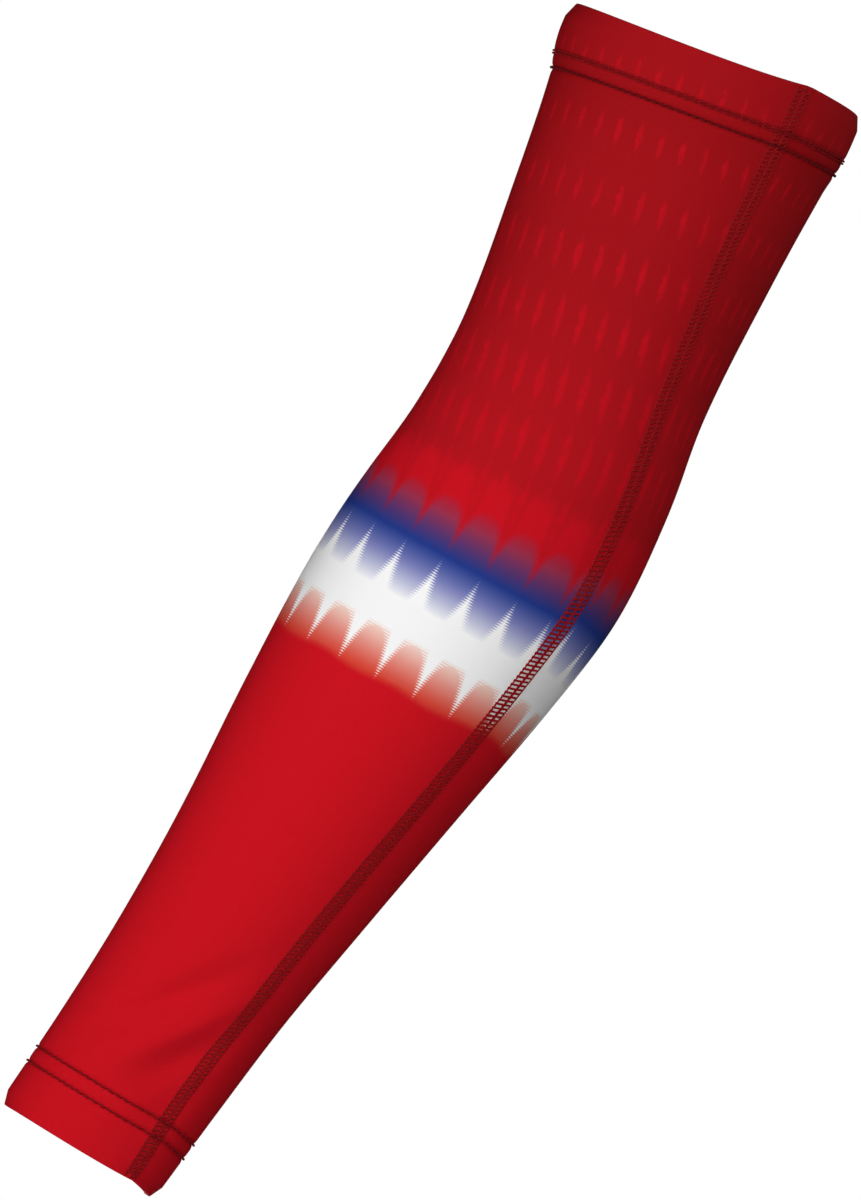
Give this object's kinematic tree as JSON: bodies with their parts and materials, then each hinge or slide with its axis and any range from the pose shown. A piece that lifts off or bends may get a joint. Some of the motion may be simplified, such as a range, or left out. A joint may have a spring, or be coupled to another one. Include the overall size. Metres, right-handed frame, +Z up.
{
  "type": "compression arm sleeve",
  "caption": "Tapered knitted tube for one arm, bent slightly at the elbow, open at both ends, with turned hems and one flat sewn seam down its length.",
  "frame": {"origin": "centre of the upper-arm opening, at the rim", "axes": "+Z up the upper arm and out of its opening, +X towards the back of the elbow, +Y away from the front of the sleeve"},
  "size_m": [0.1291, 0.09, 0.4276],
  "materials": {
    "printed_knit": "smooth stretch knit with a faint sheen, printed deep red with a blue and white fade round the elbow",
    "seam_thread": "dark red sewing thread in a flat seam"
  },
  "bodies": {
    "root": {"sleeve_panel": "printed_knit", "upper_hem": "printed_knit", "wrist_hem": "printed_knit", "flatlock_seam": "seam_thread"}
  },
  "joints": []
}
